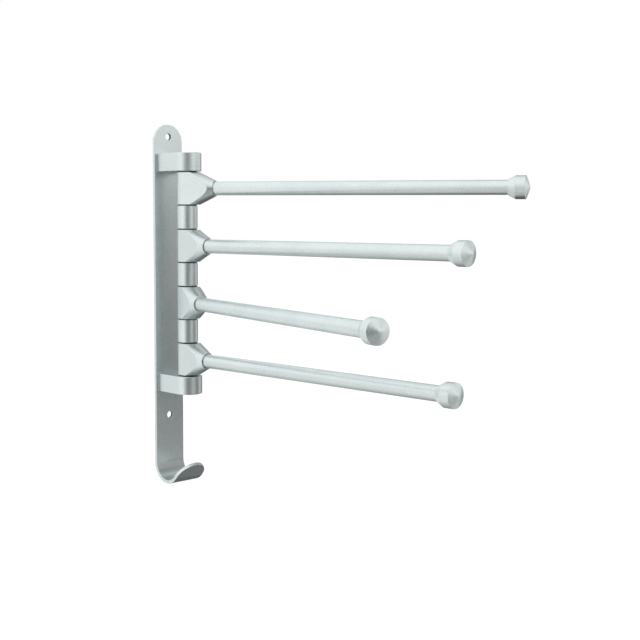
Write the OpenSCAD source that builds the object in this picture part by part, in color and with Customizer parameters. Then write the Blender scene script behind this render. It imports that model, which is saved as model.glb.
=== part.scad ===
// Swing arm towel bar for a wall: a plate with a hook at its foot, and four arms on one upright pivot.
// X runs along the wall, Y runs into the wall and Z is up. The wall is the plane Y = 0.
// The origin is on the wall, midway between the two wall-screw holes.

/* [Wall plate] */
// Width of the plate and of its hook
plate_w = 30; // [26:0.5:40]
// Thickness of the plate
plate_t = 3; // [2.6:0.1:4]
// Distance between the centres of the two wall-screw holes
hole_spacing = 250; // [240:1:300]
// Diameter of the wall-screw holes
hole_d = 6; // [4:0.5:7]
// Distance from the upper hole to the top edge of the plate
top_margin = 10.5; // [8:0.5:14]

/* [Hook] */
// Distance from the lower hole down to the start of the hook's bend
hook_drop = 41.5; // [20:0.5:60]
// Inside radius of the hook's bend
hook_r = 14.5; // [8:0.5:20]
// Angle through which the plate is bent to make the hook
hook_bend = 140; // [100:1:170]
// Length of the straight part between the bend and the round end of the lip
lip_straight = 1; // [0.5:0.5:15]

/* [Pivot] */
// Distance from the wall to the pivot's axis
pivot_out = 30; // [26:0.5:50]
// Distance from the upper hole down to the first arm's axis
first_arm_drop = 46.2; // [42:0.2:52]
// Diameter of the pivot shaft
shaft_d = 8; // [6:0.5:8.5]
// Depth to which each end of the shaft sits in its bracket
shaft_seat = 12; // [6:0.5:13]

/* [Brackets] */
// Width of a bracket, which is also the diameter of its round front
bracket_w = 25; // [22:0.5:26]
// Height of a bracket
bracket_h = 16; // [15:0.5:20]
// Chamfer on the edges of a bracket
bracket_chamfer = 0.6; // [0.2:0.1:1]

/* [Bracket screws] */
// Shank diameter of a bracket screw
screw_d = 4; // [3:0.5:4]
// Head diameter of a bracket screw
screw_head_d = 8; // [6:0.5:8.5]
// Length of a bracket screw from the top of its head to its tip
screw_len = 12; // [9:0.5:14]
// Distance between the two screws of a bracket
screw_gap = 13; // [10:0.5:14]
// Width across the flats of the hexagon socket
screw_socket = 2.5; // [2:0.1:3]
// Depth of the hexagon socket
socket_depth = 1.4; // [1:0.1:1.8]

/* [Hubs] */
// Width of a hub, which is also the diameter of its round back
hub_w = 18; // [17:0.5:21]
// Height of a hub
hub_h = 28; // [24:0.5:30]
// Distance from the pivot at which the cone reaches the height of the hub
cone_start = 12; // [8:0.5:14]
// Distance from the pivot to the end of the nose
nose_out = 27; // [24:0.5:34]
// Width of the flat ring at the end of the nose
nose_rim = 0.5; // [0.3:0.1:1.5]
// Depth to which the tube sits in the hub
socket_len = 15; // [8:0.5:16]
// Chamfer on the upper and lower edges of a hub
hub_chamfer = 0.4; // [0.2:0.1:0.8]

/* [Bushes] */
// Diameter of the flange that shows between a hub and its neighbour
flange_d = 16.6; // [13:0.2:17]
// Thickness of the flange
flange_t = 1; // [0.6:0.1:2]
// Outside diameter of the sleeve inside the hub
sleeve_d = 10; // [9.5:0.1:11]
// Length of the sleeve inside the hub
sleeve_len = 9; // [4:0.5:11]

/* [Spacers] */
// Diameter of a spacer
spacer_d = 18; // [16:0.5:21]
// Height of a spacer
spacer_h = 20; // [16:0.5:22]
// Chamfer on the edges of a spacer
spacer_chamfer = 0.4; // [0.2:0.1:1]

/* [Arms] */
// Distance from the pivot to the tip of an arm
arm_reach = 298; // [200:1:400]
// Diameter of an arm's tube
tube_d = 12; // [10:0.5:12.5]
// Wall of an arm's tube
tube_wall = 1; // [0.8:0.1:2]
// Angle of the first arm, from the wall on the right
arm_angle_1 = 62.5; // [0:0.5:180]
// Angle of the second arm
arm_angle_2 = 85.5; // [0:0.5:180]
// Angle of the third arm
arm_angle_3 = 102.5; // [0:0.5:180]
// Angle of the fourth arm
arm_angle_4 = 88; // [0:0.5:180]

/* [End caps] */
// Largest diameter of a cap
cap_d = 19; // [16:0.5:24]
// Step from the tube out to the cap's neck
cap_step = 0.4; // [0.2:0.1:1]
// Length of the flared neck
cap_flare = 6; // [3:0.5:10]
// Length of the straight rim
cap_rim = 8; // [3:0.5:12]
// Slope of the shallow cone on the face
cap_slope = 21; // [5:1:30]
// Radius that blunts the point of the face
cap_blunt_r = 7.5; // [4:0.5:9]
// Length of the spigot inside the tube
spigot_len = 14; // [6:0.5:25]

/* [Hidden] */
$fn = 96;

// Radial clearance of a bush that turns on the shaft
run_fit = 0.05;
// Radial clearance of a sleeve or bore that only slides over the shaft
slide_fit = 0.1;
// Radial gap of a pressed or bonded joint
bond_fit = 0.03;
// Radial clearance of a screw in its hole
screw_fit = 0.1;
// Overrun of a cut past the surface it opens
overrun = 1;

arm_angles = [arm_angle_1, arm_angle_2, arm_angle_3, arm_angle_4];
arm_count = len(arm_angles);
// Pitch of the arms on the pivot
arm_pitch = hub_h + 2 * flange_t + spacer_h;
hole_z = hole_spacing / 2;
plate_top_z = hole_z + top_margin;
bend_z = -hole_z - hook_drop;
// Flat steps in which the side view follows the bend
bend_steps = 48;
lip_len = lip_straight + plate_w / 2;
// How much the radius of the lip's end is more than half the width, which leaves it short shoulders
lip_round_extra = 0.1;
first_arm_z = hole_z - first_arm_drop;
stack_top_z = first_arm_z + hub_h / 2 + flange_t;
stack_h = arm_count * (hub_h + 2 * flange_t) + (arm_count - 1) * spacer_h;
stack_bottom_z = stack_top_z - stack_h;

// The shaft's upper end stops short of the bore's end, so that the brackets clamp the stack
shaft_end_gap = 0.2;
// Depth of the relief round the tube at the mouth of a hub
mouth_depth = 0.8;
// Width of that relief
mouth_gap = 0.5;
nose_d = tube_d + 2 * mouth_gap + 2 * nose_rim;
// Slope of a hub's cone, as the fall of its radius along the arm
cone_slope = (hub_h - nose_d) / 2 / (nose_out - cone_start);
tube_start = nose_out - socket_len;
// Height of a cap's face, once its point is blunted
cap_face_h = cap_d / 2 * tan(cap_slope) - cap_blunt_r * (1 / cos(cap_slope) - 1);
tube_end = arm_reach - cap_face_h - cap_rim - cap_flare;
tube_bore_d = tube_d - 2 * tube_wall;
// Wall of the hollow spigot inside a cap
spigot_wall = 1.5;
// Chamfer on the ends of the shaft and of a screw
end_chamfer = 0.5;
// How far a screw's head lies below the back of the plate
head_recess = 0.1;
head_h = (screw_head_d - screw_d) / 2;
// Free depth of a bracket's hole past the tip of its screw
tip_room = 1;
// Colours of the finishes
satin_aluminium = "#c9d0d1";
dark_nylon = "#2b2d2e";
bright_steel = "#a9adb0";

function arm_z(index) = first_arm_z - (index - 1) * arm_pitch;

// A disc with chamfered edges, standing on the plane Z = 0
module chamfered_disc(d, h, chamfer) {
    rotate_extrude()
        polygon([
            [0, 0], [d / 2 - chamfer, 0], [d / 2, chamfer],
            [d / 2, h - chamfer], [d / 2 - chamfer, h], [0, h]
        ]);
}

// A bar along +X with chamfered upper and lower edges, standing on the plane Z = 0
module chamfered_bar(length, w, h, chamfer) {
    rotate([90, 0, 90])
        linear_extrude(length)
            polygon([
                [-w / 2 + chamfer, 0], [w / 2 - chamfer, 0], [w / 2, chamfer],
                [w / 2, h - chamfer], [w / 2 - chamfer, h], [-w / 2 + chamfer, h],
                [-w / 2, h - chamfer], [-w / 2, chamfer]
            ]);
}

// Places its children at the pivot of one arm, with the arm along +X
module at_arm(index) {
    translate([0, -pivot_out, arm_z(index)])
        rotate([0, 0, -arm_angles[index - 1]])
            children();
}

// The two screw axes of a bracket, as holes that run forward from the wall
module at_bracket_screws(bottom_z) {
    for (side = [-1, 1])
        translate([side * screw_gap / 2, 0, bottom_z + bracket_h / 2])
            rotate([90, 0, 0])
                children();
}

// Points of an arc of the hook about the bend's axis, in shares of the bend from 0 to 1
function bend_arc(radius, shares) = [
    for (share = shares)
        radius * [cos(share * hook_bend), -sin(share * hook_bend)]
];

// Side view of the bent strip, with the bend's axis at the origin and the wall on the right
module strip_profile() {
    shares = [for (step = [0:bend_steps]) step / bend_steps];
    back_shares = [for (share = shares) 1 - share];
    back_r = hook_r + plate_t;
    lip = lip_len * [-sin(hook_bend), -cos(hook_bend)];
    flat_h = plate_top_z - bend_z;
    polygon(concat(
        [[back_r, flat_h], [hook_r, flat_h]],
        bend_arc(hook_r, shares),
        [for (r = [hook_r, back_r]) bend_arc(r, [1])[0] + lip],
        bend_arc(back_r, back_shares)
    ));
}

// What is cut off a strip that ends at the plane Z = 0, to leave a round end
module round_end_cut(radius) {
    translate([0, plate_t + overrun, -radius])
        rotate([90, 0, 0])
            linear_extrude(plate_t + 2 * overrun)
                difference() {
                    translate([-plate_w / 2 - overrun, 0])
                        square([plate_w + 2 * overrun, radius + overrun]);
                    circle(r = radius);
                }
}

// The strip bent to its side view, with its lip cut round
module bent_strip() {
    difference() {
        translate([-plate_w / 2, -plate_t - hook_r, bend_z])
            rotate([90, 0, 90])
                linear_extrude(plate_w)
                    strip_profile();
        translate([0, -plate_t - hook_r, bend_z])
            rotate([-hook_bend, 0, 0])
                translate([0, hook_r, -lip_len])
                    mirror([0, 0, 1])
                        round_end_cut(plate_w / 2 + lip_round_extra);
    }
}

module back_plate() {
    color(satin_aluminium)
        difference() {
            bent_strip();
            translate([0, -plate_t, plate_top_z])
                round_end_cut(plate_w / 2);
            for (z = [-hole_z, hole_z])
                translate([0, overrun, z])
                    rotate([90, 0, 0])
                        cylinder(d = hole_d, h = plate_t + 2 * overrun);
            for (bottom_z = [stack_top_z, stack_bottom_z - bracket_h])
                at_bracket_screws(bottom_z) {
                    translate([0, 0, -overrun])
                        cylinder(d = screw_d + 2 * screw_fit, h = plate_t + 2 * overrun);
                    countersink();
                }
        }
}

// Countersink for a bracket screw, flared a little past the back of the plate
module countersink() {
    translate([0, 0, -overrun])
        cylinder(
            d1 = screw_head_d + 2 * (screw_fit + head_recess + overrun),
            d2 = screw_d + 2 * screw_fit,
            h = head_h + head_recess + overrun
        );
}

// A bracket's outline: a bar from the plate, with a round front about the pivot
module bracket_body() {
    translate([0, -pivot_out, 0])
        chamfered_disc(bracket_w, bracket_h, bracket_chamfer);
    translate([0, -plate_t, 0])
        rotate([0, 0, -90])
            chamfered_bar(pivot_out - plate_t, bracket_w, bracket_h, bracket_chamfer);
}

module bracket(bottom_z, bore_z) {
    color(satin_aluminium)
        difference() {
            translate([0, 0, bottom_z])
                bracket_body();
            translate([0, -pivot_out, bore_z])
                cylinder(d = shaft_d + 2 * slide_fit, h = shaft_seat + overrun);
            at_bracket_screws(bottom_z)
                cylinder(d = screw_d + 2 * bond_fit, h = screw_len + head_recess + tip_room);
        }
}

module top_bracket() {
    bracket(stack_top_z, stack_top_z - overrun);
}

module bottom_bracket() {
    bracket(stack_bottom_z - bracket_h, stack_bottom_z - shaft_seat);
}

// One countersunk screw along +Z, with its head at the back of the plate
module countersunk_screw() {
    translate([0, 0, head_recess])
        difference() {
            union() {
                cylinder(d1 = screw_head_d, d2 = screw_d, h = head_h);
                cylinder(d = screw_d, h = screw_len - end_chamfer);
                translate([0, 0, screw_len - end_chamfer])
                    cylinder(d1 = screw_d, d2 = screw_d - 2 * end_chamfer, h = end_chamfer);
            }
            translate([0, 0, -overrun])
                cylinder(d = screw_socket / cos(30), h = socket_depth + overrun, $fn = 6);
        }
}

module bracket_screws(bottom_z) {
    color(bright_steel)
        at_bracket_screws(bottom_z)
            countersunk_screw();
}

module top_bracket_screws() {
    bracket_screws(stack_top_z);
}

module bottom_bracket_screws() {
    bracket_screws(stack_bottom_z - bracket_h);
}

module pivot_shaft() {
    color(bright_steel)
        translate([0, -pivot_out, stack_bottom_z - shaft_seat])
            chamfered_disc(shaft_d, stack_h + 2 * shaft_seat - shaft_end_gap, end_chamfer);
}

module spacer(index) {
    color(satin_aluminium)
        translate([0, -pivot_out, arm_z(index) - hub_h / 2 - flange_t - spacer_h])
            difference() {
                chamfered_disc(spacer_d, spacer_h, spacer_chamfer);
                translate([0, 0, -overrun])
                    cylinder(d = shaft_d + 2 * slide_fit, h = spacer_h + 2 * overrun);
            }
}

// The cone about the arm that cuts a hub's block down to its nose
module hub_cone() {
    back = hub_w / 2 + overrun;
    rotate([0, 90, 0])
        translate([0, 0, -back])
            cylinder(
                r1 = nose_d / 2 + cone_slope * (nose_out + back),
                r2 = nose_d / 2,
                h = nose_out + back
            );
}

module hub(index) {
    color(satin_aluminium)
        at_arm(index)
            difference() {
                intersection() {
                    translate([0, 0, -hub_h / 2])
                        union() {
                            chamfered_disc(hub_w, hub_h, hub_chamfer);
                            chamfered_bar(nose_out, hub_w, hub_h, hub_chamfer);
                        }
                    hub_cone();
                }
                translate([0, 0, -hub_h / 2 - overrun])
                    cylinder(d = sleeve_d + 2 * bond_fit, h = hub_h + 2 * overrun);
                translate([tube_start, 0, 0])
                    rotate([0, 90, 0])
                        cylinder(d = tube_d + 2 * bond_fit, h = socket_len + overrun);
                translate([nose_out - mouth_depth, 0, 0])
                    rotate([0, 90, 0])
                        cylinder(d = tube_d + 2 * mouth_gap, h = mouth_depth + overrun);
            }
}

// A flanged bush with its flange above the plane Z = 0 and its sleeve below it
module flanged_bush() {
    color(dark_nylon)
        difference() {
            union() {
                cylinder(d = flange_d, h = flange_t);
                translate([0, 0, -sleeve_len])
                    cylinder(d = sleeve_d, h = sleeve_len);
            }
            translate([0, 0, -sleeve_len - overrun])
                cylinder(d = shaft_d + 2 * run_fit, h = sleeve_len + flange_t + 2 * overrun);
        }
}

module bush_top(index) {
    at_arm(index)
        translate([0, 0, hub_h / 2])
            flanged_bush();
}

module bush_bottom(index) {
    at_arm(index)
        rotate([180, 0, 0])
            translate([0, 0, hub_h / 2])
                flanged_bush();
}

module arm_tube(index) {
    color(satin_aluminium)
        at_arm(index)
            translate([tube_start, 0, 0])
                rotate([0, 90, 0])
                    difference() {
                        cylinder(d = tube_d, h = tube_end - tube_start);
                        translate([0, 0, -overrun])
                            cylinder(d = tube_bore_d, h = tube_end - tube_start + 2 * overrun);
                    }
}

// The shallow cone on a cap's face, with a round point, standing on the plane Z = 0
module cap_face() {
    blunt_rim_r = cap_blunt_r * sin(cap_slope);
    blunt_z = cap_face_h - cap_blunt_r;
    blunt_rim_z = blunt_z + cap_blunt_r * cos(cap_slope);
    cylinder(r1 = cap_d / 2, r2 = blunt_rim_r, h = blunt_rim_z);
    intersection() {
        translate([0, 0, blunt_z])
            sphere(r = cap_blunt_r);
        cylinder(r = blunt_rim_r, h = cap_face_h + overrun);
    }
}

// A cap as a turned piece along +Z, with its neck on the plane Z = 0
module cap_body() {
    spigot_r = tube_bore_d / 2 - bond_fit;
    difference() {
        union() {
            cylinder(d1 = tube_d + 2 * cap_step, d2 = cap_d, h = cap_flare);
            translate([0, 0, cap_flare])
                cylinder(d = cap_d, h = cap_rim);
            translate([0, 0, cap_flare + cap_rim])
                cap_face();
            translate([0, 0, -spigot_len])
                cylinder(r = spigot_r, h = spigot_len);
        }
        translate([0, 0, -spigot_len - overrun])
            cylinder(r = spigot_r - spigot_wall, h = spigot_len + overrun);
    }
}

module end_cap(index) {
    color(satin_aluminium)
        at_arm(index)
            translate([tube_end, 0, 0])
                rotate([0, 90, 0])
                    cap_body();
}

back_plate();
top_bracket();
bottom_bracket();
top_bracket_screws();
bottom_bracket_screws();
pivot_shaft();
spacer(1);  // spacer_1
spacer(2);  // spacer_2
spacer(3);  // spacer_3
hub(1);  // hub_1
hub(2);  // hub_2
hub(3);  // hub_3
hub(4);  // hub_4
bush_top(1);  // bush_1_top
bush_bottom(1);  // bush_1_bottom
bush_top(2);  // bush_2_top
bush_bottom(2);  // bush_2_bottom
bush_top(3);  // bush_3_top
bush_bottom(3);  // bush_3_bottom
bush_top(4);  // bush_4_top
bush_bottom(4);  // bush_4_bottom
arm_tube(1);  // arm_tube_1
arm_tube(2);  // arm_tube_2
arm_tube(3);  // arm_tube_3
arm_tube(4);  // arm_tube_4
end_cap(1);  // end_cap_1
end_cap(2);  // end_cap_2
end_cap(3);  // end_cap_3
end_cap(4);  // end_cap_4
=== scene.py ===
# %% [markdown]
# # Swing arm towel bar
# A towel bar for a bathroom wall. One strip of aluminium is the wall plate and is bent into a hook
# at its foot. Four arms swing on one upright pivot between two brackets. All the aluminium is
# blasted with fine glass beads and then anodised, which gives one even satin grey.
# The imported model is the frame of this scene: it says where every piece is and what moves.

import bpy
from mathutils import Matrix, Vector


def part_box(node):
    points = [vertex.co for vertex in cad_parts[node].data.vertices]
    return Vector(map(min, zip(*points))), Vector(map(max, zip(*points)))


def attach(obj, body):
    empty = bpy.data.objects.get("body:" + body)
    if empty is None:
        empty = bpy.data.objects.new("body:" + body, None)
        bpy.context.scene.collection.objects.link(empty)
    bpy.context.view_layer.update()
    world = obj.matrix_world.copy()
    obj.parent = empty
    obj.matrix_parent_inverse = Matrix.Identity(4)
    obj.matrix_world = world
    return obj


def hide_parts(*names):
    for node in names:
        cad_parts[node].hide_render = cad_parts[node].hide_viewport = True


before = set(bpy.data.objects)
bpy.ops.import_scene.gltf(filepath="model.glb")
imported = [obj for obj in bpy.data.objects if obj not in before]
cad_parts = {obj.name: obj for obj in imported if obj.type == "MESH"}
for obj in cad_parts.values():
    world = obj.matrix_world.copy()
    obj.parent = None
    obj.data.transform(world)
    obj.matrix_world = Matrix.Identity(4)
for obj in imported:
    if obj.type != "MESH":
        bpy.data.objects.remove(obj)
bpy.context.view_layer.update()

# %% Modules and units
import math

import bmesh
import bpy
from mathutils import Matrix, Vector

MM = 0.001
Y_AXIS, Z_AXIS = Vector((0, 1, 0)), Vector((0, 0, 1))
print("one millimetre is", MM, "metres")

# %% [markdown]
# ## Finishes
# Every colour is written as the hex value that a screen shows. Blender works in linear light, so
# one function turns the value round. Another small function adds a node, its settings and its
# links, which keeps each material short enough to read.

# %% Colours and nodes
def linear(hex_colour):
    """The linear RGBA of an sRGB hex value."""
    shares = [int(hex_colour[i:i + 2], 16) / 255 for i in (1, 3, 5)]
    return [s / 12.92 if s <= 0.04045 else ((s + 0.055) / 1.055) ** 2.4 for s in shares] + [1.0]


def add_node(tree, kind, links=(), **settings):
    """Adds a node. A setting goes to the node's attribute of that name, and else to a socket."""
    node = tree.nodes.new(kind)
    for name, value in settings.items():
        if hasattr(node, name):
            setattr(node, name, value)
    for name, value in settings.items():
        if not hasattr(node, name):
            node.inputs[name.replace("_", " ")].default_value = value
    for source, target in links:
        tree.links.new(source, node.inputs[target])
    return node


def new_material(name):
    """An empty material, its output, and the Object coordinates that the patterns here read."""
    material = bpy.data.materials.new(name)
    material.use_nodes = True
    tree = material.node_tree
    tree.nodes.clear()
    output = add_node(tree, "ShaderNodeOutputMaterial")
    coords = add_node(tree, "ShaderNodeTexCoord").outputs["Object"]
    return material, tree, output, coords


print("white is", linear("#ffffff"))

# %% [markdown]
# ### Blasted and anodised aluminium
# Glass beads of about 0.2 mm leave tiny overlapping dimples, and the clear anodising over them is
# hard and slightly milky. The eye sees a satin metal: it mirrors large bright and dark shapes as
# soft bands but no outlines, with a fine even grain. So this is a metal of middle roughness. Its
# colour starts from that of aluminium and was then matched to the real part. A dimple is finer
# than a pixel of the picture, so the grain is drawn at 0.9 mm, where it just shows. A slow change
# of tone over some centimetres stands for the uneven blasting that every batch has.

# %% Aluminium
GRAIN = 0.9 * MM
CLOUD = 30 * MM


def make_satin_aluminium():
    material, tree, output, coords = new_material("blasted_anodised_aluminium")
    grain = add_node(tree, "ShaderNodeTexNoise", [(coords, "Vector")],
                     Scale=1 / GRAIN, Detail=3.0, Roughness=0.6)
    cloud = add_node(tree, "ShaderNodeTexNoise", [(coords, "Vector")],
                     Scale=1 / CLOUD, Detail=2.0, Roughness=0.5)
    tone = add_node(tree, "ShaderNodeMapRange", [(cloud.outputs["Fac"], "Value")],
                    From_Min=0.3, From_Max=0.7, To_Min=0.0, To_Max=1.0)
    colour = add_node(tree, "ShaderNodeMix", [(tone.outputs["Result"], "Factor")],
                      data_type="RGBA")
    colour.inputs["A"].default_value = linear("#ebf4f4")
    colour.inputs["B"].default_value = linear("#f1f9f9")
    speck = add_node(tree, "ShaderNodeMapRange", [(grain.outputs["Fac"], "Value")],
                     From_Min=0.35, From_Max=0.65, To_Min=0.86, To_Max=1.0)
    grainy = add_node(tree, "ShaderNodeVectorMath",
                      [(colour.outputs["Result"], 0), (speck.outputs["Result"], 1)],
                      operation="MULTIPLY")
    rough = add_node(tree, "ShaderNodeMapRange", [(grain.outputs["Fac"], "Value")],
                     From_Min=0.3, From_Max=0.7, To_Min=0.33, To_Max=0.43)
    dimples = add_node(tree, "ShaderNodeBump", [(grain.outputs["Fac"], "Height")],
                       Strength=0.2, Distance=0.08 * MM)
    shader = add_node(tree, "ShaderNodeBsdfPrincipled",
                      [(grainy.outputs["Vector"], "Base Color"),
                       (rough.outputs["Result"], "Roughness"),
                       (dimples.outputs["Normal"], "Normal")],
                      Metallic=1.0, Specular_Tint=linear("#f0f3f3"))
    tree.links.new(shader.outputs["BSDF"], output.inputs["Surface"])
    return material


SATIN = make_satin_aluminium()
print(SATIN.name, "grain", GRAIN, "m")

# %% [markdown]
# ### Punched hole walls with painted shade
# The walls of the two wall-screw holes are not blasted. A punch leaves them dull and torn, with
# short streaks in the direction of its stroke. Their dark colour is painted shade inside the
# holes.

# %% Punched walls with painted shade
STREAK = 0.25 * MM
STREAK_LENGTH = 3 * MM


def make_punched_wall_and_painted_shade():
    material, tree, output, coords = new_material("punched_wall_and_painted_shade")
    along_y = add_node(tree, "ShaderNodeMapping", [(coords, "Vector")],
                       Scale=(1 / STREAK, 1 / STREAK_LENGTH, 1 / STREAK))
    streaks = add_node(tree, "ShaderNodeTexNoise", [(along_y.outputs["Vector"], "Vector")],
                       Scale=1.0, Detail=2.0, Roughness=0.5)
    tone = add_node(tree, "ShaderNodeMix", [(streaks.outputs["Fac"], "Factor")], data_type="RGBA")
    # These two dark tones are painted shade, the shade inside the holes.
    tone.inputs["A"].default_value = linear("#3f4344")
    tone.inputs["B"].default_value = linear("#6a6f70")
    torn = add_node(tree, "ShaderNodeBump", [(streaks.outputs["Fac"], "Height")],
                    Strength=0.3, Distance=0.05 * MM)
    shader = add_node(tree, "ShaderNodeBsdfPrincipled",
                      [(tone.outputs["Result"], "Base Color"), (torn.outputs["Normal"], "Normal")],
                      Metallic=1.0, Roughness=0.6)
    tree.links.new(shader.outputs["BSDF"], output.inputs["Surface"])
    return material


PUNCHED_WALL_AND_SHADE = make_punched_wall_and_painted_shade()
print(PUNCHED_WALL_AND_SHADE.name)

# %% [markdown]
# ### Moulded nylon
# The bushes are dark nylon, moulded with a matt skin. Nylon is not quite opaque, and its skin
# shows a fine orange-peel and a few lighter specks where the filler comes to the surface.

# %% Nylon
PEEL = 0.6 * MM


def make_dark_nylon():
    material, tree, output, coords = new_material("moulded_nylon")
    peel = add_node(tree, "ShaderNodeTexNoise", [(coords, "Vector")],
                    Scale=1 / PEEL, Detail=2.0, Roughness=0.5)
    tone = add_node(tree, "ShaderNodeMix", [(peel.outputs["Fac"], "Factor")], data_type="RGBA")
    tone.inputs["A"].default_value = linear("#232526")
    tone.inputs["B"].default_value = linear("#34373a")
    rough = add_node(tree, "ShaderNodeMapRange", [(peel.outputs["Fac"], "Value")],
                     From_Min=0.3, From_Max=0.7, To_Min=0.48, To_Max=0.62)
    skin = add_node(tree, "ShaderNodeBump", [(peel.outputs["Fac"], "Height")],
                    Strength=0.2, Distance=0.03 * MM)
    shader = add_node(tree, "ShaderNodeBsdfPrincipled",
                      [(tone.outputs["Result"], "Base Color"),
                       (rough.outputs["Result"], "Roughness"),
                       (skin.outputs["Normal"], "Normal")],
                      IOR=1.53)
    tree.links.new(shader.outputs["BSDF"], output.inputs["Surface"])
    return material


NYLON = make_dark_nylon()
print(NYLON.name)

# %% [markdown]
# ### Turned steel
# The pivot rod and the screws are bright steel, turned on a lathe. The tool leaves fine rings
# about the axis of the work. The rod is upright, so a noise that is stretched flat in X and Y and
# fine in Z draws its rings, about 0.15 mm apart. The screws lie along Y and get the same noise,
# turned.

# %% Steel
RING = 0.15 * MM
RING_LENGTH = 20 * MM


def make_turned_steel(name, ring_scale):
    material, tree, output, coords = new_material(name)
    stretched = add_node(tree, "ShaderNodeMapping", [(coords, "Vector")], Scale=ring_scale)
    rings = add_node(tree, "ShaderNodeTexNoise", [(stretched.outputs["Vector"], "Vector")],
                     Scale=1.0, Detail=2.0, Roughness=0.5)
    tone = add_node(tree, "ShaderNodeMix", [(rings.outputs["Fac"], "Factor")], data_type="RGBA")
    tone.inputs["A"].default_value = linear("#b4b8bb")
    tone.inputs["B"].default_value = linear("#cfd2d4")
    rough = add_node(tree, "ShaderNodeMapRange", [(rings.outputs["Fac"], "Value")],
                     From_Min=0.3, From_Max=0.7, To_Min=0.18, To_Max=0.3)
    cuts = add_node(tree, "ShaderNodeBump", [(rings.outputs["Fac"], "Height")],
                    Strength=0.15, Distance=0.02 * MM)
    shader = add_node(tree, "ShaderNodeBsdfPrincipled",
                      [(tone.outputs["Result"], "Base Color"),
                       (rough.outputs["Result"], "Roughness"),
                       (cuts.outputs["Normal"], "Normal")],
                      Metallic=1.0)
    tree.links.new(shader.outputs["BSDF"], output.inputs["Surface"])
    return material


ROD_STEEL = make_turned_steel("turned_steel_rod", (1 / RING_LENGTH, 1 / RING_LENGTH, 1 / RING))
SCREW_STEEL = make_turned_steel("turned_steel_screw",
                                (1 / RING_LENGTH, 1 / RING, 1 / RING_LENGTH))
print(ROD_STEEL.name, SCREW_STEEL.name)

# %% [markdown]
# ## Ways of making
# A few small functions serve all the pieces. `turned` spins a side view about an axis, as a lathe
# does. `soften` rounds the edges that are sharper than a given angle, as blasting does. `thicken`
# gives a flat face its thickness. `bored` cuts holes out of a closed piece. `finish_piece` smooths
# and names a mesh, and gives it to its body. Sizes are in millimetres, and the functions turn them
# into Blender's metres.

# %% Turning and softening
ROUND_STEPS = 96
# Points nearer than DOUBLE are one point, and an edge shorter than SLIVER is none.
DOUBLE, SLIVER = 0.0005, 0.0001
# What is less than this from a plane counts as lying on it.
NEAR = 0.01
# What is further than this share of the diameter from the axis is on the outside.
OUTER = 0.45


def weld(bm):
    """Merges doubles and turns every face outwards."""
    bmesh.ops.remove_doubles(bm, verts=bm.verts, dist=DOUBLE * MM)
    bmesh.ops.dissolve_degenerate(bm, edges=bm.edges, dist=SLIVER * MM)
    bmesh.ops.recalc_face_normals(bm, faces=bm.faces)


def turned(side_view, steps=ROUND_STEPS):
    """A solid of revolution about Z. side_view is a closed list of radii and heights."""
    bm = bmesh.new()
    corners = [bm.verts.new((radius * MM, 0, height * MM)) for radius, height in side_view]
    edges = [bm.edges.new((a, b)) for a, b in zip(corners, corners[1:] + corners[:1])
             if a.co.x > 0 or b.co.x > 0]
    bmesh.ops.spin(bm, geom=corners + edges, cent=(0, 0, 0), axis=Z_AXIS, angle=math.tau,
                   steps=steps, use_merge=True)
    weld(bm)
    return bm


def soften(bm, radius, where=None, sharper_than=25, segments=3):
    """Rounds edges. where takes the middle of an edge and says whether it is one of them."""
    limit = math.radians(sharper_than)
    sharp = [e for e in bm.edges if len(e.link_faces) == 2 and e.calc_face_angle() > limit
             and (where is None or where((e.verts[0].co + e.verts[1].co) / 2))]
    bmesh.ops.bevel(bm, geom=sharp, offset=radius * MM, offset_type="OFFSET", affect="EDGES",
                    segments=segments, profile=0.5, clamp_overlap=True, material=-1)
    weld(bm)


print("round pieces have", ROUND_STEPS, "steps")

# %% Thickening and cutting
def thicken(bm, way):
    """Moves a copy of the flat faces by way, in metres, with walls between the two."""
    copied = bmesh.ops.extrude_face_region(bm, geom=bm.faces[:])
    moved = [g for g in copied["geom"] if isinstance(g, bmesh.types.BMVert)]
    bmesh.ops.translate(bm, verts=moved, vec=way)
    weld(bm)


def cut_across(bm, point, normal, within, clear_outer=False):
    """Cuts the mesh along a plane. within is how near to it, in metres, a point lies on it."""
    return bmesh.ops.bisect_plane(bm, geom=bm.verts[:] + bm.edges[:] + bm.faces[:], dist=within,
                                  plane_co=point, plane_no=normal, clear_outer=clear_outer)


def outside(diameter):
    """A test for soften, which picks the edges on the outside of a round piece about Z."""
    return lambda middle: math.hypot(middle.x, middle.y) > diameter * OUTER * MM


print("points within", NEAR, "mm of a plane lie on it")

# %% Putting a mesh in its place
def place(bm, *steps):
    """Applies the steps to the mesh, the first one first."""
    for step in steps:
        bmesh.ops.transform(bm, matrix=step, verts=bm.verts)


def shift(x, y, z):
    return Matrix.Translation(Vector((x, y, z)) * MM)


def turn(degrees, axis):
    return Matrix.Rotation(math.radians(degrees), 4, axis)


print("a quarter turn takes Z to", [round(v) for v in turn(90, "X") @ Z_AXIS])

# %% Finishing a piece
SMOOTH_BELOW = math.radians(35)


def finish_piece(name, bm, material, body, nodes):
    """Makes an object of the mesh, rides it on its body, and puts it in place of its CAD nodes."""
    mesh = bpy.data.meshes.new(name)
    bm.to_mesh(mesh)
    bm.free()
    mesh.shade_smooth()
    mesh.set_sharp_from_angle(angle=SMOOTH_BELOW)
    piece = bpy.data.objects.new(name, mesh)
    bpy.context.scene.collection.objects.link(piece)
    piece.data.materials.append(material)
    flats = piece.modifiers.new("flats_stay_flat", "WEIGHTED_NORMAL")
    flats.keep_sharp = True
    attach(piece, body)
    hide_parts(*nodes)
    return piece


print("edges below", round(math.degrees(SMOOTH_BELOW)), "degrees are shaded smooth")

# %% Boring holes
# How far a cutter reaches past what it cuts, and a blank past what is cut from it.
OVERRUN = 1


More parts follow.
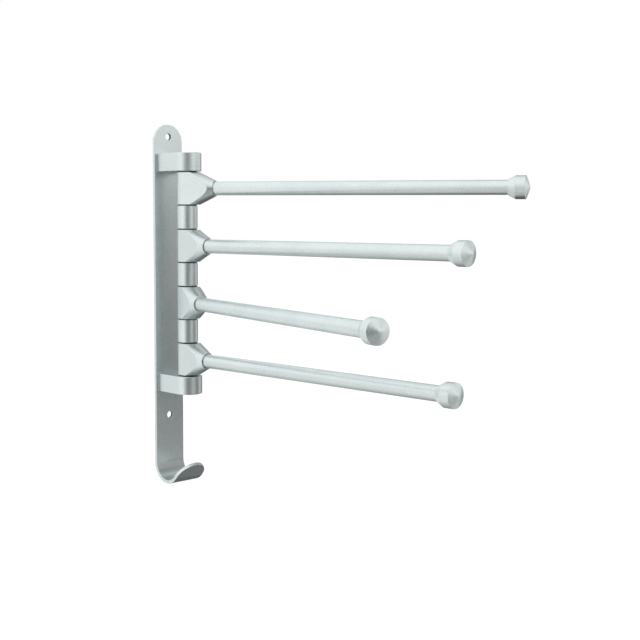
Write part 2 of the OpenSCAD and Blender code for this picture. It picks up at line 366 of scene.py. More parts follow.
def bored(bm, cutters):
    """Cuts closed meshes out of a closed mesh, with Blender's exact Boolean."""
    def temporary(mesh_in, name):
        mesh = bpy.data.meshes.new(name)
        mesh_in.to_mesh(mesh)
        mesh_in.free()
        holder = bpy.data.objects.new(name, mesh)
        bpy.context.scene.collection.objects.link(holder)
        return holder

    work = temporary(bm, "work")
    tools = [temporary(cutter, "cutter") for cutter in cutters]
    for tool in tools:
        cut = work.modifiers.new("cut", "BOOLEAN")
        cut.operation, cut.solver, cut.object = "DIFFERENCE", "EXACT", tool
    result = bmesh.new()
    result.from_object(work, bpy.context.evaluated_depsgraph_get())
    for holder in [work, *tools]:
        mesh = holder.data
        bpy.data.objects.remove(holder)
        bpy.data.meshes.remove(mesh)
    weld(result)
    return result


def drill(radius, depth, *steps, segments=64):
    """A plain round cutter that stands on Z = 0, then goes through the steps."""
    bm = bmesh.new()
    bmesh.ops.create_cone(bm, cap_ends=True, segments=segments, radius1=radius * MM,
                          radius2=radius * MM, depth=depth * MM)
    place(bm, shift(0, 0, depth / 2), *steps)
    return bm


print("holes are cut after the edges are softened")

# %% [markdown]
# ## Measures
# These are the sizes of the real part in millimetres, and the angles of the arms in degrees, the
# same as in the part's own source. How high up the brackets, hubs, spacers and the rod sit is read
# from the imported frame.

# %% Sizes
PLATE_W, PLATE_T, HOLE_Z, HOLE_D, PLATE_TOP = 30, 3, 125, 6, 135.5
BEND_Z, HOOK_R, HOOK_BEND, LIP = -166.5, 14.5, 140, 16
PIVOT_OUT, SHAFT_D = 30, 8
BRACKET_W = 25
SCREW_GAP, SCREW_D, SCREW_HEAD_D, SCREW_LEN, HEAD_RECESS = 13, 4, 8, 12, 0.1
SOCKET_FLATS, SOCKET_DEPTH = 2.5, 1.4
HUB_W, HUB_H, CONE_START, NOSE_OUT, NOSE_D = 18, 28, 12, 27, 14
MOUTH_D, MOUTH_DEPTH, SOCKET_LEN = 13, 0.8, 15
FLANGE_D, FLANGE_T, SLEEVE_D, SLEEVE_LEN, BUSH_BORE = 16.6, 1, 10, 9, 8.1
SPACER_D, SPACER_BORE = 18, 8.2
TUBE_D, TUBE_BORE = 12, 10
CAP_D, CAP_NECK_D, CAP_FLARE, CAP_RIM, CAP_SLOPE, CAP_BLUNT = 19, 12.8, 6, 8, 21, 7.5
SPIGOT_R, SPIGOT_BORE_R, SPIGOT_LEN = 4.97, 3.47, 14
ARM_REACH = 298
ARM_ANGLES = {1: 62.5, 2: 85.5, 3: 102.5, 4: 88}
# The gap all round a loose screw or a seated rod, and round what is pressed or screwed in.
LOOSE_FIT, TIGHT_FIT = 0.1, 0.03


def z_range(node):
    """Lowest and highest point of a CAD node, in mm."""
    low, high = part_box(node)
    return low.z / MM, high.z / MM


HUB_Z = {i: sum(z_range(f"hub_{i}")) / 2 for i in ARM_ANGLES}
print("hub centres", {i: round(z, 1) for i, z in HUB_Z.items()})

# %% [markdown]
# ## Wall plate and hook
# The real plate is a strip that is cut out flat, with round ends and its holes, and then bent
# round a bar. It is made in the same order here. A circle is stretched into the flat outline,
# filled round its holes and given its thickness, and its edges are broken.

# %% Plate outline and holes
BEND_LEN = math.radians(HOOK_BEND) * (HOOK_R + PLATE_T / 2)
FLAT_FOOT = BEND_Z - BEND_LEN - LIP
OUTLINE_STEPS, HOLE_STEPS = 192, 48
FLAT_WITHIN = 0.01
SCREW_Z = [sum(z_range("top_bracket")) / 2, sum(z_range("bottom_bracket")) / 2]
SCREW_HOLES = [(side * SCREW_GAP / 2, z) for z in SCREW_Z for side in (-1, 1)]


def circle_edges(bm, radius, x, z, segments):
    """A circle of edges in the plane Y = 0."""
    made = bmesh.ops.create_circle(bm, cap_ends=False, segments=segments, radius=radius * MM)
    verts = made["verts"]
    bmesh.ops.rotate(bm, verts=verts, cent=(0, 0, 0), matrix=turn(90, "X").to_3x3())
    bmesh.ops.translate(bm, verts=verts, vec=Vector((x, 0, z)) * MM)
    return verts


def flat_strip():
    bm = bmesh.new()
    top_centre, foot_centre = PLATE_TOP - PLATE_W / 2, FLAT_FOOT + PLATE_W / 2
    for vert in circle_edges(bm, PLATE_W / 2, 0, 0, OUTLINE_STEPS):
        vert.co.z += (top_centre if vert.co.z > 0 else foot_centre) * MM
    for z in (HOLE_Z, -HOLE_Z):
        circle_edges(bm, HOLE_D / 2, 0, z, HOLE_STEPS)
    for x, z in SCREW_HOLES:
        circle_edges(bm, SCREW_D / 2 + LOOSE_FIT, x, z, HOLE_STEPS)
    bmesh.ops.triangle_fill(bm, use_beauty=True, use_dissolve=False, edges=bm.edges)
    bmesh.ops.dissolve_limit(bm, angle_limit=FLAT_WITHIN, verts=[], edges=bm.edges)
    return bm


strip = flat_strip()
print("the flat strip is", round(PLATE_TOP - FLAT_FOOT, 1), "mm long")

# %% Thickness and broken edges
PLATE_EDGE = 0.35


def away_from_screws(middle):
    return all(math.hypot(middle.x / MM - x, middle.z / MM - z) > SCREW_HEAD_D
               for x, z in SCREW_HOLES)


thicken(strip, (0, -PLATE_T * MM, 0))
soften(strip, PLATE_EDGE, where=away_from_screws, sharper_than=60)
print("the strip is", PLATE_T, "mm thick")

# %% [markdown]
# The two screws of each bracket come from behind, so their four holes widen to the back. A ring is
# cut round every hole wall at the depth where the countersink ends, and the rim at the back is
# scaled up.

# %% Countersinks
COUNTERSINK = (SCREW_HEAD_D - SCREW_D) / 2 + HEAD_RECESS
# How near to a cutting plane a point of the plate lies on it, in metres.
PLATE_CUT = 1e-9


def countersink(bm):
    cut_across(bm, (0, -COUNTERSINK * MM, 0), Y_AXIS, PLATE_CUT)
    for x, z in SCREW_HOLES:
        centre = Vector((x, 0, z)) * MM
        rim = [v for v in bm.verts if abs(v.co.y) < NEAR * MM
               and (v.co - centre).length < SCREW_D * MM]
        bmesh.ops.scale(bm, verts=rim, vec=Vector((1, 1, 1)) * (SCREW_HEAD_D / SCREW_D),
                        space=Matrix.Translation(-centre))


countersink(strip)
print(len(SCREW_HOLES), "holes widen over", round(COUNTERSINK, 1), "mm")

# %% [markdown]
# A flat face can't bend, so rows are first cut across the strip where the bend will be. Each point
# below the start of the bend is then carried round the bar by as much of the strip as lies above
# it. What is left over at the end is the straight lip.

# %% The bend of the hook
BEND_ROWS = 56


def roll_foot(bm):
    for row in range(BEND_ROWS + 1):
        z = (BEND_Z - BEND_LEN * row / BEND_ROWS) * MM
        cut_across(bm, (0, 0, z), Z_AXIS, PLATE_CUT)
    for vert in bm.verts:
        rolled = min(max(BEND_Z - vert.co.z / MM, 0), BEND_LEN)
        if rolled <= 0:
            continue
        tail = BEND_Z - vert.co.z / MM - rolled
        angle = rolled / BEND_LEN * math.radians(HOOK_BEND)
        reach = HOOK_R + PLATE_T + vert.co.y / MM
        vert.co.y = (-PLATE_T - HOOK_R + reach * math.cos(angle) - tail * math.sin(angle)) * MM
        vert.co.z = (BEND_Z - reach * math.sin(angle) - tail * math.cos(angle)) * MM
    weld(bm)


roll_foot(strip)
print("the bend takes", round(BEND_LEN, 1), "mm of the strip")

# %% Hole walls and the finished plate
# The walls of the wall-screw holes take the plate's second material, whose dark colour is painted
# shade.
HOLE_WALL = 1


def mark_hole_walls(bm):
    walls = 0
    for face in bm.faces:
        middle = face.calc_center_median() / MM
        if any(math.hypot(middle.x, middle.z - z) < HOLE_D / 2 for z in (HOLE_Z, -HOLE_Z)):
            face.material_index = HOLE_WALL
            walls += 1
    return walls


print(mark_hole_walls(strip), "faces of hole wall")
plate = finish_piece("wall_plate", strip, SATIN, "frame", ["back_plate"])
# The second material paints shade on the walls of the wall-screw holes.
plate.data.materials.append(PUNCHED_WALL_AND_SHADE)
print(plate.name, len(plate.data.polygons), "faces")

# %% [markdown]
# ## Brackets
# Each bracket is a short length of bar with one round end. A circle is stretched square towards
# the plate, raised to its height, and its edges are rounded as blasting rounds them. The blind
# hole for the pivot rod and the two screw holes are then drilled, though they only show when it is
# taken apart.

# %% Brackets
BRACKET_STEPS = 128
BRACKET_EDGE = 0.7
SHAFT_SEAT = 12


def make_bracket(name, bore_up):
    low, high = z_range(name)
    bm = bmesh.new()
    made = bmesh.ops.create_circle(bm, cap_ends=True, segments=BRACKET_STEPS,
                                   radius=BRACKET_W / 2 * MM)
    for vert in made["verts"]:
        if vert.co.y > 0:
            vert.co.x = math.copysign(BRACKET_W / 2 * MM, vert.co.x)
            vert.co.y = (PIVOT_OUT - PLATE_T) * MM
    weld(bm)
    thicken(bm, (0, 0, (high - low) * MM))
    soften(bm, BRACKET_EDGE, sharper_than=60, segments=4)
    place(bm, shift(0, -PIVOT_OUT, low))
    bore_z = low - OVERRUN if bore_up else high - SHAFT_SEAT
    cutters = [drill(SHAFT_D / 2 + LOOSE_FIT, SHAFT_SEAT + OVERRUN, shift(0, -PIVOT_OUT, bore_z))]
    for side in (-1, 1):
        cutters.append(drill(SCREW_D / 2 + TIGHT_FIT, SCREW_LEN + 2 * OVERRUN, turn(90, "X"),
                             shift(side * SCREW_GAP / 2, OVERRUN, (low + high) / 2)))
    bm = bored(bm, cutters)
    return finish_piece(name + "_blasted", bm, SATIN, "frame", [name])


brackets = [make_bracket("top_bracket", True), make_bracket("bottom_bracket", False)]
print([len(b.data.polygons) for b in brackets], "faces")

# %% [markdown]
# ## Pivot rod and screws
# The rod is a plain turned bar with a small chamfer at each end. Little of it shows, but an arm
# that is taken off would bare it. The countersunk screws are turned too, and their hexagon socket
# is cut with a cutter of six sides.

# %% Pivot rod
ROD_CHAMFER = 0.5


def make_rod():
    low, high = z_range("pivot_shaft")
    r, c = SHAFT_D / 2, ROD_CHAMFER
    bm = turned([(0, low), (r - c, low), (r, low + c), (r, high - c), (r - c, high), (0, high)])
    place(bm, shift(0, -PIVOT_OUT, 0))
    return finish_piece("pivot_rod", bm, ROD_STEEL, "frame", ["pivot_shaft"])


rod = make_rod()
print(rod.name, len(rod.data.polygons), "faces")

# %% Bracket screws
SCREW_STEPS = 48
SOCKET_SIDES = 6
HEAD_EDGE, TIP_CHAMFER = 0.12, 0.5


def make_screw():
    """One screw along Z, with the flat top of its head at Z = 0."""
    r, head_r, c = SCREW_D / 2, SCREW_HEAD_D / 2, TIP_CHAMFER
    bm = turned([(0, 0), (head_r, 0), (r, head_r - r), (r, SCREW_LEN - c), (r - c, SCREW_LEN),
                 (0, SCREW_LEN)], SCREW_STEPS)
    soften(bm, HEAD_EDGE, where=lambda middle: middle.z < NEAR * MM, segments=2)
    corner_r = SOCKET_FLATS / 2 / math.cos(math.radians(180 / SOCKET_SIDES))
    return bored(bm, [drill(corner_r, SOCKET_DEPTH + OVERRUN, shift(0, 0, -OVERRUN),
                            segments=SOCKET_SIDES)])


def make_screw_pair(node, z):
    pair = bmesh.new()
    for side in (-1, 1):
        bm = make_screw()
        place(bm, turn(90, "X"), shift(side * SCREW_GAP / 2, -HEAD_RECESS, z))
        mesh = bpy.data.meshes.new("one_screw")
        bm.to_mesh(mesh)
        bm.free()
        pair.from_mesh(mesh)
        bpy.data.meshes.remove(mesh)
    name = node.replace("_screws", "_socket_screws")
    return finish_piece(name, pair, SCREW_STEEL, "frame", [node])


for node, z in zip(("top_bracket_screws", "bottom_bracket_screws"), SCREW_Z):
    print(make_screw_pair(node, z).name)

# %% [markdown]
# ## Spacers and bushes
# The spacers are short sleeves, parted off a bar, with a broken edge that catches the light. A
# bush is a nylon sleeve with a flange. Only the flange shows, as the dark line above and below
# each hub.

# %% Spacers
SPACER_EDGE = 0.45


def ring_view(outer, inner, low, high):
    return [(inner, low), (outer, low), (outer, high), (inner, high)]


for index in (1, 2, 3):
    node = f"spacer_{index}"
    low, high = z_range(node)
    bm = turned(ring_view(SPACER_D / 2, SPACER_BORE / 2, low, high))
    soften(bm, SPACER_EDGE, where=outside(SPACER_D), segments=4)
    place(bm, shift(0, -PIVOT_OUT, 0))
    made = finish_piece(f"sleeve_{index}", bm, SATIN, "frame", [node])
    print(made.name, len(made.data.polygons), "faces")

# %% Flanged bushes
FLANGE_EDGE = 0.15


def make_bush(index, side, up):
    """up is 1 for the bush above a hub and -1 for the one below it."""
    flange, sleeve, bore = FLANGE_D / 2, SLEEVE_D / 2, BUSH_BORE / 2
    bm = turned([(bore, -SLEEVE_LEN), (sleeve, -SLEEVE_LEN), (sleeve, 0), (flange, 0),
                 (flange, FLANGE_T), (bore, FLANGE_T)])
    soften(bm, FLANGE_EDGE, where=outside(FLANGE_D))
    place(bm, shift(0, 0, HUB_H / 2))
    if up < 0:
        place(bm, turn(180, "X"))
    place(bm, shift(0, -PIVOT_OUT, HUB_Z[index]))
    weld(bm)
    return finish_piece(f"flanged_bush_{index}_{side}", bm, NYLON, f"arm_{index}",
                        [f"bush_{index}_{side}"])


for index in ARM_ANGLES:
    print(make_bush(index, "top", 1).name, make_bush(index, "bottom", -1).name)

# %% [markdown]
# ## Hubs
# A hub starts as a block with a round back. A lathe tool then cuts a cone about the arm's axis,
# which turns the square end into a round nose and leaves a curved edge on each flat side. Here it
# is made the other way round: a cone first, then planes cut the flat sides, the top and the
# bottom, and a fan of planes rounds the back. The tube's socket is bored with a small relief round
# its mouth, which shows as a thin dark ring.

# %% Hub block
CONE_STEPS = 160
BACK_CUTS = 30
CONE_SLOPE = (HUB_H - NOSE_D) / 2 / (NOSE_OUT - CONE_START)
# How near to a cutting plane a point of the hub lies on it, in metres.
HUB_CUT = 1e-7


def plane_off(bm, normal, distance):
    """Cuts away what lies past a plane at that distance from the middle, and closes the cut."""
    cut = cut_across(bm, normal * distance * MM, normal, HUB_CUT, clear_outer=True)
    edges = [g for g in cut["geom_cut"] if isinstance(g, bmesh.types.BMEdge)]
    bmesh.ops.contextual_create(bm, geom=edges)


def hub_block():
    back = HUB_W / 2 + OVERRUN
    length = NOSE_OUT + back
    bm = bmesh.new()
    bmesh.ops.create_cone(bm, cap_ends=True, segments=CONE_STEPS, depth=length * MM,
                          radius1=(NOSE_D / 2 + CONE_SLOPE * length) * MM,
                          radius2=NOSE_D / 2 * MM)
    place(bm, shift(0, 0, length / 2 - back), turn(90, "Y"))
    for normal, distance in ((Y_AXIS, HUB_W / 2), (-Y_AXIS, HUB_W / 2),
                             (Z_AXIS, HUB_H / 2), (-Z_AXIS, HUB_H / 2)):
        plane_off(bm, normal, distance)
    for cut in range(BACK_CUTS):
        angle = math.radians(90 + 180 * (cut + 0.5) / BACK_CUTS)
        plane_off(bm, Vector((math.cos(angle), math.sin(angle), 0)), HUB_W / 2)
    bmesh.ops.remove_doubles(bm, verts=bm.verts, dist=NEAR * MM)
    bmesh.ops.recalc_face_normals(bm, faces=bm.faces)
    return bm


block = hub_block()
print("hub block", len(block.faces), "faces",
      "closed", all(len(e.link_faces) == 2 for e in block.edges))

# %% [markdown]
# Two planes of the fan meet at 6 degrees and two facets of the cone at about 2, and these must not
# be rounded. The curved edges between the cone and the flat sides are 25 degrees sharp or more, so
# a limit of 14 degrees tells them apart. The rim of the nose is kept crisper than the rest.

# %% Hub edges and bores
HUB_EDGE, NOSE_EDGE = 0.25, 0.15


def make_hub(index):
    bm = block.copy()
    nose_x = (NOSE_OUT - NEAR) * MM
    soften(bm, HUB_EDGE, where=lambda middle: middle.x < nose_x, sharper_than=14)
    soften(bm, NOSE_EDGE, where=lambda middle: middle.x > nose_x, sharper_than=30, segments=2)
    along = turn(90, "Y")
    bm = bored(bm, [
        drill(SLEEVE_D / 2 + TIGHT_FIT, HUB_H + 2 * OVERRUN, shift(0, 0, -HUB_H / 2 - OVERRUN)),
        drill(TUBE_D / 2 + TIGHT_FIT, SOCKET_LEN + OVERRUN, shift(0, 0, NOSE_OUT - SOCKET_LEN),
              along, segments=ROUND_STEPS),
        drill(MOUTH_D / 2, MOUTH_DEPTH + OVERRUN, shift(0, 0, NOSE_OUT - MOUTH_DEPTH), along,
              segments=ROUND_STEPS)])
    place(bm, turn(-ARM_ANGLES[index], "Z"), shift(0, -PIVOT_OUT, HUB_Z[index]))
    return finish_piece(f"hub_{index}_blasted", bm, SATIN, f"arm_{index}", [f"hub_{index}"])


for index in ARM_ANGLES:
    hub = make_hub(index)
    print(hub.name, len(hub.data.polygons), "faces")
block.free()

# %% [markdown]
# ## Arms and end caps
# An arm is a plain tube. Its cap is turned from bar: a neck a little wider than the tube, a flare,
# a straight rim and a shallow cone with a blunt point. The blunt point is an arc, so the side view
# gets a few points along it, and the spin makes the rest.

# %% Tubes
CAP_TILT = math.radians(CAP_SLOPE)
CAP_FACE_H = CAP_D / 2 * math.tan(CAP_TILT) - CAP_BLUNT * (1 / math.cos(CAP_TILT) - 1)
TUBE_START = NOSE_OUT - SOCKET_LEN
TUBE_END = ARM_REACH - CAP_FACE_H - CAP_RIM - CAP_FLARE
TUBE_EDGE = 0.1


def lay_along_arm(bm, index):
    """Turns a piece made along Z into its place along an arm."""
    place(bm, turn(90, "Y"), turn(-ARM_ANGLES[index], "Z"), shift(0, -PIVOT_OUT, HUB_Z[index]))


for index in ARM_ANGLES:
    bm = turned(ring_view(TUBE_D / 2, TUBE_BORE / 2, TUBE_START, TUBE_END))
    soften(bm, TUBE_EDGE, where=outside(TUBE_D), segments=2)
    lay_along_arm(bm, index)
    tube = finish_piece(f"tube_{index}", bm, SATIN, f"arm_{index}", [f"arm_tube_{index}"])
    print(tube.name, round(TUBE_END - TUBE_START, 1), "mm long")

# %% End caps
CAP_ARC_STEPS = 10
NECK_EDGE, RIM_EDGE = 0.15, 0.7


def cap_view():
    rim_top = CAP_FLARE + CAP_RIM
    middle = rim_top + CAP_FACE_H - CAP_BLUNT
    arc = [(CAP_BLUNT * math.sin(CAP_TILT * (1 - i / CAP_ARC_STEPS)),
            middle + CAP_BLUNT * math.cos(CAP_TILT * (1 - i / CAP_ARC_STEPS)))
           for i in range(CAP_ARC_STEPS + 1)]
    return [(0, 0), (SPIGOT_BORE_R, 0), (SPIGOT_BORE_R, -SPIGOT_LEN), (SPIGOT_R, -SPIGOT_LEN),
            (SPIGOT_R, 0), (CAP_NECK_D / 2, 0), (CAP_D / 2, CAP_FLARE), (CAP_D / 2, rim_top)] + arc


def on_neck(middle):
    return middle.z < NEAR * MM and math.hypot(middle.x, middle.y) > TUBE_D / 2 * MM


for index in ARM_ANGLES:
    bm = turned(cap_view())
    soften(bm, NECK_EDGE, where=on_neck, segments=2)
    soften(bm, RIM_EDGE, where=lambda middle: middle.z > NEAR * MM, sharper_than=15, segments=4)
    place(bm, shift(0, 0, TUBE_END))
    lay_along_arm(bm, index)
    cap = finish_piece(f"flared_cap_{index}", bm, SATIN, f"arm_{index}", [f"end_cap_{index}"])
    print(cap.name, len(cap.data.polygons), "faces")

# %% [markdown]
# ## Studio
# The part hangs in the air before a seamless white, as in a catalogue picture. A satin metal shows
# little else than what stands round it, so the studio is what gives it its form. Small bright
# products are photographed in a tent of white cloth, and a few dark cards outside the cloth leave
# soft shades in it. The metal here mirrors such a tent, and one soft card that stands near the
# part inside it. Nylon and paper scatter what falls on them, so they are lit by two soft lamps and
# a pale world instead.

# %% White surroundings
WORLD_STRENGTH = 0.55


def background_rays(tree):
    """A socket that is 1 for what the camera sees, also in a mirror or through glass."""
    path = add_node(tree, "ShaderNodeLightPath")
    seen = add_node(tree, "ShaderNodeMath",
                    [(path.outputs["Is Camera Ray"], 0), (path.outputs["Is Glossy Ray"], 1)],
                    operation="MAXIMUM")
    seen = add_node(tree, "ShaderNodeMath",
                    [(seen.outputs["Value"], 0), (path.outputs["Is Transmission Ray"], 1)],
                    operation="MAXIMUM")
    return seen.outputs["Value"]


def make_world():
    world = bpy.data.worlds.new("white_studio")
    bpy.context.scene.world = world
    world.use_nodes = True
    tree = world.node_tree
    tree.nodes.clear()
    output = add_node(tree, "ShaderNodeOutputWorld")
    soft = add_node(tree, "ShaderNodeBackground", Color=linear("#f4f7f8"),
                    Strength=WORLD_STRENGTH)
    white = add_node(tree, "ShaderNodeBackground", Color=linear("#ffffff"), Strength=1.0)
    mixed = add_node(tree, "ShaderNodeMixShader", [(background_rays(tree), "Fac"),
                                                   (soft.outputs["Background"], 1),
                                                   (white.outputs["Background"], 2)])
    tree.links.new(mixed.outputs["Shader"], output.inputs["Surface"])
    return world


print(make_world().name)

# %% Floor
FLOOR_Z = -0.6
FLOOR_SIZE = 30
FLOOR_GLOW = 0.62


def stage_piece(name, bm, material):
    mesh = bpy.data.meshes.new(name)
    bm.to_mesh(mesh)
    bm.free()
    piece = bpy.data.objects.new(name, mesh)
    piece.data.materials.append(material)
    bpy.context.scene.collection.objects.link(piece)
    return piece


def make_floor():
    material, tree, output, _ = new_material("pale_floor")
    paper = add_node(tree, "ShaderNodeBsdfDiffuse", Color=linear("#f2f2f2"))
    share = add_node(tree, "ShaderNodeMath", [(background_rays(tree), 0)], operation="MULTIPLY")
    share.inputs[1].default_value = FLOOR_GLOW
    glow = add_node(tree, "ShaderNodeEmission", [(share.outputs["Value"], "Strength")],
                    Color=linear("#ffffff"))
    both = add_node(tree, "ShaderNodeAddShader", [(paper.outputs["BSDF"], 0),
                                                  (glow.outputs["Emission"], 1)])
    tree.links.new(both.outputs["Shader"], output.inputs["Surface"])
    bm = bmesh.new()
    bmesh.ops.create_grid(bm, x_segments=1, y_segments=1, size=FLOOR_SIZE / 2)
    bmesh.ops.translate(bm, verts=bm.verts, vec=(0, 0, FLOOR_Z))
    return stage_piece("floor", bm, material)


floor = make_floor()
print(floor.name, "at", FLOOR_Z, "m")

# %% [markdown]
# ### Light tent
# The tent is a large ball that glows on its inside with a strength of 1, so the metal shows about
# the colour it was given. Each shade takes a share of that light off between two bearings and
# between two heights, and fades out softly at its edges. A bearing is in degrees from straight in
# front of the wall plate, and grows towards +X. A height is that of a point on a ball of radius 1,
# from -1 straight down to 1 straight up. The shades were fitted to how light and dark the real
# part is in its photograph, then rounded and moved: they bring back the stripe down each
# sleeve, the undersides and the inside of the hook.

# %% Shades in the tent
TENT_RADIUS = 8
BELOW = -3.0
# The share of light taken off; two bearings and their softness; two heights and theirs.
SHADES = (
    (0.52, (-66, 50, 14), (BELOW, -0.01, 0.06)),      # low, in front
    (0.30, (52, 84, 14), (BELOW, 0.03, 0.06)),        # low, in front to the right
    (0.60, (84, 140, 16), (BELOW, 0.06, 0.06)),       # low, at the right
    (0.90, (-60, -8, 17), (-0.34, 0.30, 0.16)),       # the dark room round the camera
    (0.65, (92, 138, 20), (BELOW, 0.85, 0.45)),       # a tall card at the right
    (0.20, (-165, -110, 15), (BELOW, 0.12, 0.08)),    # a faint one at the left
    (0.15, (130, 172, 12), (BELOW, 0.15, 0.25)),      # a faint one behind
    (0.72, (25, 80, 18), (0.52, 0.92, 0.07)),         # a card above, which the hook mirrors
    (0.38, (40, 105, 18), (0.28, 0.80, 0.13)),        # a softer one round it
    (0.60, (-75, 225, 20), (BELOW, -0.68, 0.18)),     # the ground under the part
    (0.50, (-225, -135, 20), (BELOW, -0.72, 0.18)),   # the same, behind it at the left
)


def within(tree, value, low, high, soft):
    """1 between two limits, fading smoothly to 0 across each of them."""
    rise, fall = [
        add_node(tree, "ShaderNodeMapRange", [(value, "Value")], interpolation_type="SMOOTHSTEP",
                 From_Min=limit - soft, From_Max=limit + soft, To_Min=start, To_Max=1 - start)
        for limit, start in ((low, 0.0), (high, 1.0))]
    return add_node(tree, "ShaderNodeMath",
                    [(rise.outputs["Result"], 0), (fall.outputs["Result"], 1)],
                    operation="MULTIPLY")


def light_left(tree, sideways, upwards, shades):
    """What the shades leave of a light of 1, as a socket. Each shade is a row of a table here."""
    left = None
    for share, across, heights in shades:
        inside = add_node(tree, "ShaderNodeMath",
                          [(within(tree, sideways, *across).outputs["Value"], 0),
                           (within(tree, upwards, *heights).outputs["Value"], 1)],
                          operation="MULTIPLY")
        passed = add_node(tree, "ShaderNodeMath", [(inside.outputs["Value"], 0)],
                          operation="MULTIPLY_ADD")
        passed.inputs[1].default_value, passed.inputs[2].default_value = -share, 1.0
        if left is not None:
            passed = add_node(tree, "ShaderNodeMath", [(left, 0), (passed.outputs["Value"], 1)],
                              operation="MULTIPLY")
        left = passed.outputs["Value"]
    return left


print(len(SHADES), "shades")

# %% Light tent
def unseen_but_mirrored(piece):
    piece.visible_camera = piece.visible_diffuse = piece.visible_shadow = False
    piece.visible_transmission = piece.visible_volume_scatter = False


def make_tent():
    material, tree, output, coords = new_material("light_tent")
    heading = add_node(tree, "ShaderNodeVectorMath", [(coords, 0)], operation="NORMALIZE")
    parts = add_node(tree, "ShaderNodeSeparateXYZ", [(heading.outputs["Vector"], "Vector")])
    ahead = add_node(tree, "ShaderNodeMath", [(parts.outputs["Y"], 0)], operation="MULTIPLY")
    ahead.inputs[1].default_value = -1.0
    bearing = add_node(tree, "ShaderNodeMath",
                       [(parts.outputs["X"], 0), (ahead.outputs["Value"], 1)],
                       operation="ARCTAN2")
    shades = [(share, [math.radians(b) for b in bearings], heights)
              for share, bearings, heights in SHADES]
    strength = light_left(tree, bearing.outputs["Value"], parts.outputs["Z"], shades)
    glow = add_node(tree, "ShaderNodeEmission", [(strength, "Strength")], Color=linear("#ffffff"))
    tree.links.new(glow.outputs["Emission"], output.inputs["Surface"])
    bm = bmesh.new()
    bmesh.ops.create_icosphere(bm, subdivisions=4, radius=TENT_RADIUS)
    bmesh.ops.reverse_faces(bm, faces=bm.faces)
    tent = stage_piece("light_tent", bm, material)
    unseen_but_mirrored(tent)
    return tent


tent = make_tent()
floor.visible_glossy = False
print(tent.name, "is seen in reflections only")

# %% [markdown]
# ### Near card
# The wall plate and the lower bracket mirror something dark that the arms' ends don't. So it has
# to stand close to the plate, in front of it at the right: a soft grey card, 0.3 m out. A shade in
# the far tent would darken the arms' ends as well. The card lets the tent's light through where it
# isn't shaded, so it has no hard edge. Its place and its shades were found by trying them
# against the photograph.

# %% Near card
CARD_OUT = 0.3
CARD_SIZE = 0.5
CARD_WAY, CARD_ACROSS = Vector((0.6, -0.8, 0)), Vector((0.8, 0.6, 0))
# The share of light taken off; two places across the card and their softness; two heights and
# theirs. All are in metres here.
CARD_SHADES = (
    (0.90, (-0.02, 0.085, 0.035), (-0.32, 0.115, 0.03)),    # the dark middle
    (0.65, (-0.11, -0.03, 0.03), (-0.32, 0.01, 0.04)),      # lower and lighter, towards -X
)


def make_card():
    material, tree, output, coords = new_material("soft_grey_card")
    parts = add_node(tree, "ShaderNodeSeparateXYZ", [(coords, "Vector")])
    across = add_node(tree, "ShaderNodeVectorMath", [(coords, 0)], operation="DOT_PRODUCT")
    across.inputs[1].default_value = CARD_ACROSS
    left = light_left(tree, across.outputs["Value"], parts.outputs["Z"], CARD_SHADES)
    dark = add_node(tree, "ShaderNodeEmission", Color=linear("#000000"), Strength=0.0)
    clear = add_node(tree, "ShaderNodeBsdfTransparent")
    veil = add_node(tree, "ShaderNodeMixShader", [(left, "Fac"), (dark.outputs["Emission"], 1),
                                                  (clear.outputs["BSDF"], 2)])
    tree.links.new(veil.outputs["Shader"], output.inputs["Surface"])
    bm = bmesh.new()
    bmesh.ops.create_grid(bm, x_segments=1, y_segments=1, size=CARD_SIZE / 2)
    place(bm, Matrix((CARD_ACROSS, Z_AXIS, CARD_WAY)).transposed().to_4x4(),
          Matrix.Translation(CARD_WAY * CARD_OUT))
    card = stage_piece("grey_card", bm, material)
    unseen_but_mirrored(card)
    return card


print(make_card().name, "stands", CARD_OUT, "m out")

# %% [markdown]
# ### Lamps
# Two large square lamps light the nylon and the floor, the stronger one from the upper left and
# the weaker one from the upper right. No piece mirrors them, because they would stand in the metal
# as two bright squares that the real part doesn't show.

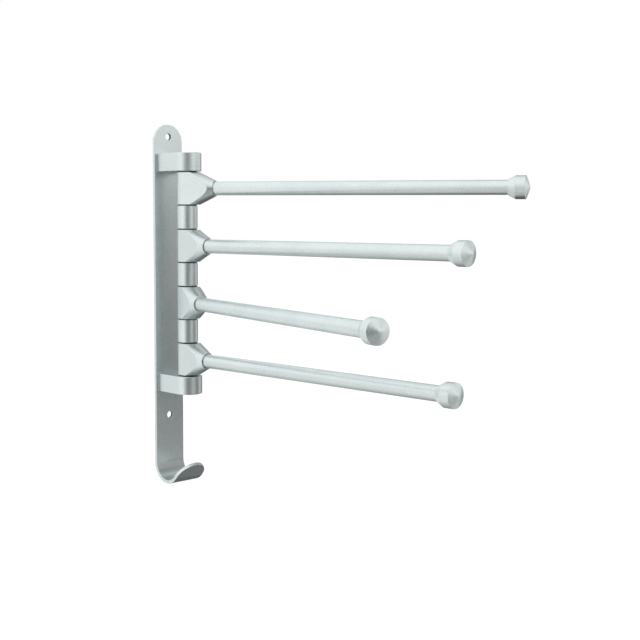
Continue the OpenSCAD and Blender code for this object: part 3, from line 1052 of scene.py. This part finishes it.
# %% Lamps
LAMP_SIZE = 1.6
LAMP_AIM = Vector((0, -0.15, 0))
LAMPS = (("key", Vector((-1.8, -0.9, 1.5)), 10), ("fill", Vector((1.2, -1.6, 1.6)), 4))


def area_lamp(name, spot, watts):
    lamp = bpy.data.lights.new(name, "AREA")
    lamp.shape, lamp.size, lamp.energy = "SQUARE", LAMP_SIZE, watts
    holder = bpy.data.objects.new(name, lamp)
    bpy.context.scene.collection.objects.link(holder)
    holder.location = spot
    holder.visible_glossy = False
    holder.rotation_euler = (LAMP_AIM - spot).to_track_quat("-Z", "Y").to_euler()


for name, spot, watts in LAMPS:
    area_lamp(name, spot, watts)
    print(name, "lamp of", watts, "watts")

# %% [markdown]
# ## Camera
# The lens and the place were found by matching about ninety edges of the part to the photograph:
# one metre away, to the left of the arms, at the height of the upper arms, and looking a little
# down. The focal length is in pixels of a picture that is 640 pixels wide.

# %% Camera
CAMERA_AT = (-0.5979, -0.8106, 0.0516)
YAW, PITCH, ROLL = -44.29, 5.14, 0.32
FOCAL_PIXELS, PICTURE_WIDTH = 1106.52, 640
FOCAL_SHARE = FOCAL_PIXELS / PICTURE_WIDTH
SENSOR = 36
NEAREST, FURTHEST = 0.05, 100


def make_camera():
    yaw, pitch, roll = (math.radians(a) for a in (YAW, PITCH, ROLL))
    ahead = Vector((-math.sin(yaw) * math.cos(pitch), math.cos(yaw) * math.cos(pitch),
                    -math.sin(pitch)))
    level = Vector((math.cos(yaw), math.sin(yaw), 0))
    over = level.cross(ahead)
    right = level * math.cos(roll) + over * math.sin(roll)
    up = over * math.cos(roll) - level * math.sin(roll)
    data = bpy.data.cameras.new("camera")
    data.sensor_width, data.lens = SENSOR, SENSOR * FOCAL_SHARE
    data.clip_start, data.clip_end = NEAREST, FURTHEST
    camera = bpy.data.objects.new("camera", data)
    bpy.context.scene.collection.objects.link(camera)
    facing = Matrix((right, up, -ahead)).transposed().to_4x4()
    camera.matrix_world = Matrix.Translation(CAMERA_AT) @ facing
    bpy.context.scene.camera = camera
    return camera


print(make_camera().name, "lens", round(SENSOR * FOCAL_SHARE, 2), "mm")

# %% View transform
bpy.context.scene.view_settings.view_transform = "Standard"
